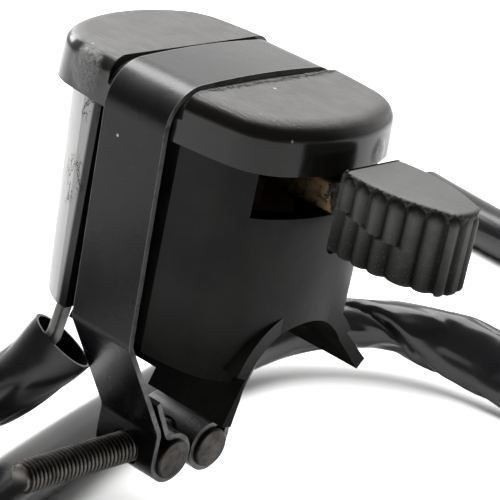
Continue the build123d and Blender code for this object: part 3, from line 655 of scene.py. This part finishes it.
def sleeveShape(index, angle):
    place = sleeveLine[index]
    creased, flattened = crumpleAt(place)
    x, way = place.x / mm, travelled[index] / mm
    side, over, heading = (sleeveFrames[index].col[axis].to_3d() for axis in range(3))
    face = Vector(sleeve["flatFace"])
    front = (face - heading * face.dot(heading)).normalized()
    top = heading.cross(front)
    if top.z < 0:
        top = -top
    out = side * math.cos(angle) + over * math.sin(angle)
    turned = math.atan2(out.dot(top), out.dot(front))
    around = Vector((math.cos(turned), math.sin(turned), 0.0))
    soft = sleeveNoise("soft", around, way)
    wrinkle = max(0.0, 1 - abs(sleeveNoise("wrinkle", around, way)) * sleeve["wrinkleSharp"])
    dent = max(0.0, sleeveNoise("dent", around, way) - sleeve["dentOver"])
    foldAt = math.radians(sleeve["foldStart"] - sleeve["foldTurn"] * blendStep(*sleeve["foldAlong"], x))
    apart = (turned - foldAt) / sleeve["foldWide"]
    fold = math.exp(-(apart if apart > 0 else apart * sleeve["foldSharp"]) ** 2)
    mouth = 1 - blendStep(0.0, sleeve["mouthReach"], way)
    flat = sleeve["flatten"] * flattened + sleeve["mouthFlat"] * mouth
    size = 1 + sleeve["softSmall"] * soft * (1 - creased)
    size += creased * sleeve["softLarge"] * soft
    size -= creased * (sleeve["wrinkleDepth"] * wrinkle + sleeve["dentDepth"] * dent)
    size -= sleeve["foldDepth"] * fold * creased * (1 - blendStep(*sleeve["foldEnds"], x))
    reach = (front * math.cos(turned) * (1 - flat) + top * math.sin(turned) * (1 + flat)) * size
    reach *= sleeve["radius"] * mm
    return reach.dot(side), reach.dot(over)


def makeSleeve():
    mesh = bmesh.new()
    outer = sweepRing(mesh, sleeveFrames, sleeveShape, sleeve["sides"])
    inward = sleeve["wall"] / sleeve["radius"]
    for ringVerts, step in ((outer[0], 1), (outer[-1], -1)):
        edges = [edge for edge in {e for v in ringVerts for e in v.link_edges} if edge.is_boundary]
        start = 0 if step == 1 else len(sleeveFrames) - 1
        depth = 0.0
        index = start
        centre = sleeveFrames[start].translation
        made = bmesh.ops.extrude_edge_only(mesh, edges=edges)["geom"]
        ringVerts = [item for item in made if isinstance(item, bmesh.types.BMVert)]
        edges = [item for item in made if isinstance(item, bmesh.types.BMEdge)]
        for vertex in ringVerts:
            vertex.co = centre + (vertex.co - centre) * (1 - inward)
        while depth < sleeve["mouthDepth"] * mm:
            nextIndex = index + step
            shift = sleeveFrames[nextIndex] @ sleeveFrames[index].inverted()
            depth += (sleeveLine[nextIndex] - sleeveLine[index]).length
            made = bmesh.ops.extrude_edge_only(mesh, edges=edges)["geom"]
            ringVerts = [item for item in made if isinstance(item, bmesh.types.BMVert)]
            edges = [item for item in made if isinstance(item, bmesh.types.BMEdge)]
            bmesh.ops.transform(mesh, matrix=shift, verts=ringVerts)
            index = nextIndex
        bmesh.ops.contextual_create(mesh, geom=edges)
    for vertex in mesh.verts:
        vertex.co.z = max(vertex.co.z, sleeve["lowest"] * mm)
    return finishPiece("wireSleeve", mesh, "switch_body", "sleeve_cover", ["harness_sleeve"], 60.0)


sleevePiece = makeSleeve()


# Clamping screw: one continuous thread, a worn tip and a pan head. The flank gives places over the
# thread's root and along its axis, and the core gives radii and places along the axis
screw = {
    "radius": 2.5, "rootRadius": 2.08, "pitch": 0.8, "tip": -28.5, "threadEnd": 3.6, "height": -18.8,
    "tipChamfer": 0.75, "tipRadius": 1.2, "tipInset": 0.02, "steps": 28, "coreSteps": 48, "merge": 0.003,
    "flank": [(0.0, 0.0), (0.05, 0.16), (0.42, 0.36), (0.42, 0.44), (0.05, 0.64), (0.0, 0.8)],
    "core": [(0.0, -28.5), (1.62, -28.5), (1.80, -28.38), (2.06, -28.0), (2.06, 3.6), (2.5, 4.1), (2.5, 9.7),
             (4.25, 9.7), (4.4, 9.9), (4.4, 11.6), (3.95, 12.45), (3.1, 12.84), (0.0, 12.9)],
}


def makeScrew():
    mesh = bmesh.new()
    pitch = screw["pitch"]
    turns = int((screw["threadEnd"] - screw["tip"]) / pitch)
    start = screw["tip"] - pitch / 2
    root = screw["rootRadius"]
    line = [mesh.verts.new(point(root + over, start + along, 0)) for over, along in screw["flank"]]
    edges = [mesh.edges.new(pair) for pair in zip(line, line[1:])]
    bmesh.ops.spin(mesh, geom=line + edges, cent=(0, 0, 0), axis=(0, 1, 0), angle=math.tau * turns,
                   steps=screw["steps"] * turns, dvec=(0, pitch * mm / screw["steps"], 0))
    bmesh.ops.remove_doubles(mesh, verts=mesh.verts, dist=screw["merge"] * mm)
    tip = screw["tip"] * mm
    for vertex in mesh.verts:
        reach = math.hypot(vertex.co.x, vertex.co.z)
        room = screw["radius"] * mm - max(0.0, screw["tipChamfer"] * mm - (vertex.co.y - tip))
        keep = min(1.0, max(room, screw["tipRadius"] * mm) / reach)
        vertex.co.x *= keep
        vertex.co.z *= keep
        vertex.co.y = max(vertex.co.y, tip + screw["tipInset"] * mm)
    core = [point(radius, along, 0) for radius, along in screw["core"]]
    spinProfile(mesh, core, screw["coreSteps"], (0, 1, 0))
    bmesh.ops.translate(mesh, vec=point(0, 0, screw["height"]), verts=mesh.verts)
    return finishPiece("clampScrew", mesh, "cross_screw", "steel", ["clamp_screw"], 50.0, makeScrewSteel())


makeScrew()


# Knob: bowed wedge with upright ribs that end in arches, and a moulding step along its inner half
knob = {
    "start": 28.0, "length": 18.2, "height": 12.4, "middle": 31.2,
    "innerHalf": 5.9, "middleHalf": 6.3, "outerHalf": 3.4, "noseBulge": 1.5,
    "pitch": 2.95, "ribDepth": 0.85, "rimWidth": 0.30, "edge": 0.75, "topMargin": 0.75,
    "layers": 54, "sideSamples": 110, "noseSamples": 60, "innerSamples": 10, "noseShape": 0.8,
    "stepDepth": 0.30, "roundness": 2.2, "phase": 0.15, "lowerShift": 0.5,
    "parting": 0.10, "partingDrop": 0.24, "partingAlong": (28.0, 38.0), "partingWide": 0.04,
    "partingEnds": (37.0, 42.0), "fadeIn": 0.5, "fadeOut": (1.6, 0.4), "rims": (0.0, 0.06, 0.2, 0.42),
}


# Half of the outline, from the inner corner along the side and round to the nose's middle
def knobHalf():
    outer = knob["start"] + knob["length"] - knob["noseBulge"]
    extra = knob["middleHalf"] - (knob["innerHalf"] + knob["outerHalf"]) / 2
    path = []
    for index in range(knob["sideSamples"] + 1):
        share = index / knob["sideSamples"]
        straight = knob["innerHalf"] + (knob["outerHalf"] - knob["innerHalf"]) * share
        bow = 4 * share * (1 - share) * extra
        path.append((knob["start"] + (outer - knob["start"]) * share, straight + bow))
    for index in range(1, knob["noseSamples"] + 1):
        angle = math.pi / 2 * index / knob["noseSamples"]
        bulge = knob["noseBulge"] * math.sin(angle) ** knob["noseShape"]
        path.append((outer + bulge, knob["outerHalf"] * math.cos(angle)))
    return path


def knobOutline():
    way = 0.0
    half = []
    for place in knobHalf():
        if half:
            way += math.dist(place, half[-1][:2])
        half.append((*place, way))
    near = [(x, -y, w) for x, y, w in reversed(half[:-1])]
    count = knob["innerSamples"]
    inner = [(knob["start"], -knob["innerHalf"] * (1 - 2 * index / count), -1.0) for index in range(1, count)]
    return half + near + inner


# How far a place on the knob's side lies inside the outline, and whether it is a crest
def ribAt(way, height, x, fullWay):
    if way < 0:
        return 0.0, 0.0
    half = knob["height"] / 2
    parting = (knob["parting"] - knob["partingDrop"] * blendStep(*knob["partingAlong"], x)) * half
    lower = 1 - blendStep(parting - knob["partingWide"], parting + knob["partingWide"], height)
    lower *= 1 - blendStep(*knob["partingEnds"], x)
    phase = way / knob["pitch"] + knob["phase"] + knob["lowerShift"] * lower
    across = abs(2 * (phase - math.floor(phase)) - 1)
    reach = knob["pitch"] / 2
    climb = max(0.0, (height - (half - knob["topMargin"] - reach)) / reach)
    spread = math.hypot(across, climb)
    if spread < 1:
        depth = knob["ribDepth"] * spread ** knob["roundness"]
    else:
        depth = knob["ribDepth"] * max(0.0, 1 - (spread - 1) / knob["rimWidth"])
    fadeFrom, fadeTo = (fullWay - left for left in knob["fadeOut"])
    fade = blendStep(0.0, knob["fadeIn"], way) * (1 - blendStep(fadeFrom, fadeTo, way))
    return (depth + knob["stepDepth"] * lower) * fade, 1 - min(1.0, spread)


def makeKnob():
    mesh = bmesh.new()
    crest = mesh.verts.layers.float.new("crest")
    spot = mesh.verts.layers.int.new("spot")      # each vertex's place in the outline
    outline = knobOutline()
    fullWay = max(way for x, y, way in outline)
    count = len(outline)
    half = knob["height"] / 2
    edge = knob["edge"]
    rims = [-half + rise for rise in (*knob["rims"], edge)]
    levels = [-half + knob["height"] * layer / knob["layers"] for layer in range(knob["layers"] + 1)]
    heights = rims + [h for h in levels if edge < h + half < 2 * half - edge] + [-h for h in reversed(rims)]
    ring = [mesh.verts.new(point(x, y, 0)) for x, y, way in outline]
    edges = [mesh.edges.new((ring[i], ring[(i + 1) % count])) for i in range(count)]
    for index, vertex in enumerate(ring):
        vertex[spot] = index
    rings = [ring]
    for _ in heights[1:]:
        made = bmesh.ops.extrude_edge_only(mesh, edges=edges)["geom"]
        rings.append([item for item in made if isinstance(item, bmesh.types.BMVert)])
        edges = [item for item in made if isinstance(item, bmesh.types.BMEdge)]
    outs = []
    for index in range(count):
        xa, ya, _ = outline[index - 1]
        xb, yb, _ = outline[(index + 1) % count]
        outs.append(Vector((ya - yb, xb - xa)).normalized())
    for height, level in zip(heights, rings):
        gap = min(edge, half - abs(height))
        inset = edge - math.sqrt(max(0.0, edge ** 2 - (edge - gap) ** 2))
        for vertex in level:
            x, y, way = outline[vertex[spot]]
            depth, top = ribAt(way, height, x, fullWay)
            out = outs[vertex[spot]]
            depth += inset
            vertex.co = point(x - out.x * depth, y - out.y * depth, knob["middle"] + height)
            vertex[crest] = top
    closeRing(mesh, rings[0])
    closeRing(mesh, rings[-1])
    mesh.verts.layers.int.remove(spot)
    return finishPiece("leverKnob", mesh, "lever", "knob_moulding", ["lever_knob"], 48.0)


makeKnob()


# Left end of the near lip, which runs on behind the strap
lipEnd = {
    "from": -10.4, "to": -7.95,
    "outline": [(-11.44, 2.8), (-12.85, -0.5), (-11.34, -0.5), (-11.07, 0.77), (-10.9, 2.09), (-10.73, 2.8)],
}


def makeLipEnd():
    mesh = bmesh.new()
    ring = [mesh.verts.new(point(lipEnd["from"], y, z)) for y, z in lipEnd["outline"]]
    face = mesh.faces.new(ring)
    made = bmesh.ops.extrude_face_region(mesh, geom=[face])["geom"]
    far = [item for item in made if isinstance(item, bmesh.types.BMVert)]
    bmesh.ops.translate(mesh, vec=point(lipEnd["to"] - lipEnd["from"], 0, 0), verts=far)
    return finishPiece("lipEnd", mesh, "switch_body", "base_moulding", (), 30.0)


makeLipEnd()


# Crusted end of the arm, between the slot and the knob
crust = {
    "from": 21.8, "to": 27.95, "middle": 31.2, "halfAcross": 2.75, "halfHigh": 2.55, "cuts": 22, "corner": 5,
    "bumps": 0.1176, "bumpSpread": 0.9, "bumpShift": (7, 0, 0), "bumpFractal": (0.6, 2.1, 5),
    "narrow": 0.86, "narrowAlong": (-1.0, 0.4),
}


def makeCrust():
    mesh = bmesh.new()
    bmesh.ops.create_cube(mesh, size=2.0)
    bmesh.ops.subdivide_edges(mesh, edges=mesh.edges, cuts=crust["cuts"], use_grid_fill=True)
    length = (crust["to"] - crust["from"]) / 2
    centre = (crust["to"] + crust["from"]) / 2
    for vertex in mesh.verts:
        unit = vertex.co.copy()
        power = sum(abs(c) ** crust["corner"] for c in unit) ** (1 / crust["corner"])
        shape = unit / power
        place = Vector((shape.x * length, shape.y * crust["halfAcross"], shape.z * crust["halfHigh"]))
        shift = Vector(crust["bumpShift"])
        lumps = noise.fractal(place * crust["bumpSpread"] + shift, *crust["bumpFractal"])
        widen = (1 - crust["narrow"]) * blendStep(*crust["narrowAlong"], shape.x)
        grow = (1 + crust["bumps"] * lumps) * (crust["narrow"] + widen)
        vertex.co = point(centre + place.x, place.y * grow, crust["middle"] + place.z * grow)
    return finishPiece("armCrust", mesh, "lever", "brass", (), 80.0, makeCrustDirt())


makeCrust()


# Ragged burrs that stand up along the cap's groove
burrs = {
    "count": 120, "x": 7.55, "from": -12.6, "to": 13.6, "height": 42.24, "length": 1.5, "seed": 11,
    "sideways": 0.1, "lengths": (0.25, 1.0), "turn": 0.5, "tilt": 84, "thickness": 0.5, "widths": (0.6, 1.5),
    "inFrom": 0.3, "lift": 0.06, "rootRadius": 0.16, "tipRadius": 0.015, "sides": 5,
}


def makeBurrs():
    chance = random.Random(burrs["seed"])
    mesh = bmesh.new()
    for number in range(burrs["count"]):
        share = number / (burrs["count"] - 1)
        y = burrs["from"] + (burrs["to"] - burrs["from"]) * share
        y += chance.uniform(-burrs["sideways"], burrs["sideways"])
        size = burrs["length"] * chance.uniform(*burrs["lengths"])
        lean = Matrix.Rotation(chance.uniform(-burrs["turn"], burrs["turn"]), 4, "Z")
        lean = lean @ Matrix.Rotation(math.radians(burrs["tilt"]), 4, "Y")
        stretch = Matrix.Diagonal((burrs["thickness"], chance.uniform(*burrs["widths"]), 1, 1))
        height = burrs["height"] + chance.uniform(-burrs["lift"], burrs["lift"])
        place = Matrix.Translation(point(burrs["x"] + burrs["inFrom"] * size, y, height))
        bmesh.ops.create_cone(mesh, cap_ends=True, segments=burrs["sides"], radius1=burrs["rootRadius"] * mm,
                              radius2=burrs["tipRadius"] * mm, depth=size * mm, matrix=place @ lean @ stretch)
    black = makePlain("tornPaint", *plainColours["tornPaint"])
    return finishPiece("grooveBurrs", mesh, "switch_body", "cap_paint", (), 30.0, black)


makeBurrs()


# Wires past the sleeve's far end, and their bullet connectors, as radii and places along them
tail = {
    "wireRadius": 0.55, "step": 1.25, "lengths": (6.0, 8.5, 11.0), "reach": 11.0, "fan": 16.0,
    "inSleeve": 6.0, "inCover": 2.0, "fineness": 12, "wireSides": 14, "sides": 28,
    "body": [(0.75, 0.0), (1.35, 0.1), (1.5, 1.2), (2.0, 2.2), (2.1, 3.0), (2.1, 7.0), (1.9, 7.3),
             (1.9, 8.2), (2.1, 8.5), (2.1, 16.4), (1.9, 17.0), (1.5, 17.0), (1.5, 15.0), (0.0, 15.0)],
    "nose": [(0.0, 15.5), (1.4, 15.5), (1.4, 18.6), (1.15, 18.9), (1.15, 19.5), (1.7, 20.0), (1.7, 21.2),
             (1.3, 21.8), (0.5, 22.0), (0.0, 22.0)],
}


def wireShape(index, angle):
    radius = tail["wireRadius"] * mm
    return radius * math.cos(angle), radius * math.sin(angle)


def makeTail():
    end = Vector(sleeve["route"][-1])
    heading = (end - Vector(sleeve["route"][-2])).normalized()
    left = Vector((-heading.y, heading.x, 0))
    wires = bmesh.new()
    bullets = bmesh.new()
    noses = bmesh.new()
    for index, length in enumerate(tail["lengths"]):
        start = end - left * (index - 1) * (2 * tail["wireRadius"] + tail["step"])
        turned = (len(tail["lengths"]) - 1 - index) * math.radians(tail["fan"])
        first = start + heading * length
        out = left * math.cos(turned) - heading * math.sin(turned)
        last = first + out * tail["reach"]
        route = [start - heading * tail["inSleeve"], start, first, last, last + out * tail["inCover"]]
        rings = sweepRing(wires, carriedFrames(routeLine("tailLine", route, tail["fineness"])), wireShape,
                          tail["wireSides"])
        closeRing(wires, rings[0])
        closeRing(wires, rings[-1])
        turnTo = Matrix.Translation(last * mm) @ out.to_track_quat("Z", "Y").to_matrix().to_4x4()
        for mesh, shape in ((bullets, tail["body"]), (noses, tail["nose"])):
            profile = [point(reach, 0, rise) for reach, rise in shape]
            spinProfile(mesh, profile, tail["sides"], out, last * mm, turnTo)
    return [finishPiece("tailWires", wires, "switch_body", "wire_cover", ["tail_wires"]),
            finishPiece("bulletCovers", bullets, "switch_body", "connector_cover", ["bullet_connectors"]),
            finishPiece("bulletNoses", noses, "switch_body", "brass")]


tailPieces = makeTail()


# Plain pale floor and soft studio light
studio = {
    "floorHeight": -32.5, "floorReach": 1500.0, "floorSides": 96, "aim": (0, 0, 10),
    "floorRough": 0.9, "floorColours": ((0.86, 0.86, 0.86, 1), (0.88, 0.88, 0.88, 1)), "floorScale": 3.0,
}
floorMaterial, floorTree, floorShader = newMaterial("paleFloor", Roughness=studio["floorRough"])
floorPlace = objectPlace(floorTree)
floorCloud = noiseOf(floorTree, floorPlace, studio["floorScale"])
floorColour = mixed(floorTree, floorCloud, *studio["floorColours"])
plug(floorTree, floorShader, Base_Color=floorColour)
floorMesh = bmesh.new()
bmesh.ops.create_circle(floorMesh, cap_ends=True, segments=studio["floorSides"],
                        radius=studio["floorReach"] * mm,
                        matrix=Matrix.Translation(point(0, 0, studio["floorHeight"])))
floorData = bpy.data.meshes.new("floor")
floorMesh.to_mesh(floorData)
floorMesh.free()
floorData.materials.append(floorMaterial)
floor = bpy.data.objects.new("floor", floorData)
scene.collection.objects.link(floor)

lights = [
    {"name": "above", "place": (-160, 120, 620), "size": 600.0, "power": 9.0},
    {"name": "leftBack", "place": (-460, 60, 240), "size": 320.0, "power": 3.0},
]
for light in lights:
    lightData = bpy.data.lights.new(light["name"], "AREA")
    lightData.size = light["size"] * mm
    lightData.energy = light["power"]
    lightObject = bpy.data.objects.new(light["name"], lightData)
    aim = (point(*studio["aim"]) - point(*light["place"])).to_track_quat("-Z", "Y").to_matrix().to_4x4()
    lightObject.matrix_world = Matrix.Translation(point(*light["place"])) @ aim
    scene.collection.objects.link(lightObject)

# The room is pale on the far side of the object and dim on the near side
room = {
    "toward": (-0.66, 0.75, 0.05), "from": -0.25, "to": 0.85, "dim": 0.06, "pale": 1.45,
    "tint": (1.0, 0.99, 0.975, 1),
}
world = bpy.data.worlds.new("studio")
world.use_nodes = True
worldTree = world.node_tree
heading = addNode(worldTree, "ShaderNodeVectorMath", {"operation": "DOT_PRODUCT"}, {
    0: addNode(worldTree, "ShaderNodeTexCoord").outputs["Generated"], 1: room["toward"]})
glow = fit(worldTree, heading.outputs["Value"], room["from"], room["to"], room["dim"], room["pale"])
background = worldTree.nodes["Background"]
background.inputs["Color"].default_value = room["tint"]
worldTree.links.new(glow, background.inputs["Strength"])
scene.world = world
scene.view_settings.view_transform = "Standard"
print("studio lit")
